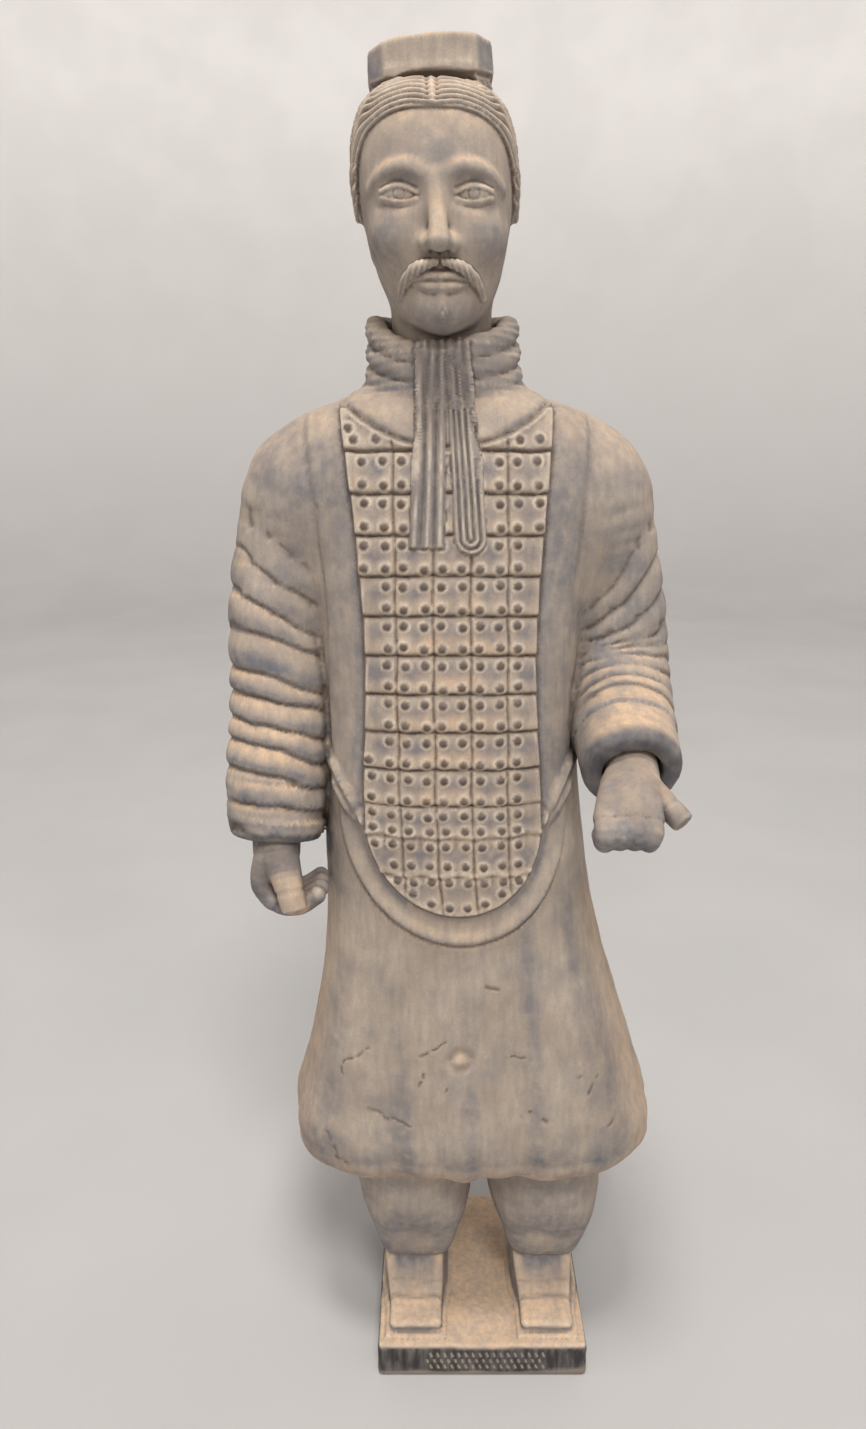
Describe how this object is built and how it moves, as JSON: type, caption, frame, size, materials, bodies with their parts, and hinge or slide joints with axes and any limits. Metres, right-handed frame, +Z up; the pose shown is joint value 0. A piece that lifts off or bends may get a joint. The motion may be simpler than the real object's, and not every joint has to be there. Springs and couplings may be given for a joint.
{
  "type": "terracotta warrior statue",
  "caption": "Standing robed warrior figure in hollow-cast clay on a low square plinth, with a separate head and hands.",
  "frame": {"origin": "centre of the plinth's underside", "axes": "+Z up, the figure faces -Y, +X towards the figure's left hand"},
  "size_m": [0.1653, 0.1137, 0.494],
  "materials": {
    "body_clay": "matt unglazed clay, tan slip on raised parts over a grey wash in the hollows",
    "head_clay": "matt unglazed clay, tan slip on raised parts over a grey wash in the hollows",
    "hand_clay": "matt unglazed clay under a darker grey wash"
  },
  "bodies": {
    "root": {"robed_body_on_plinth": "body_clay", "head": "head_clay", "right_hand": "hand_clay", "left_hand": "hand_clay"}
  },
  "joints": []
}
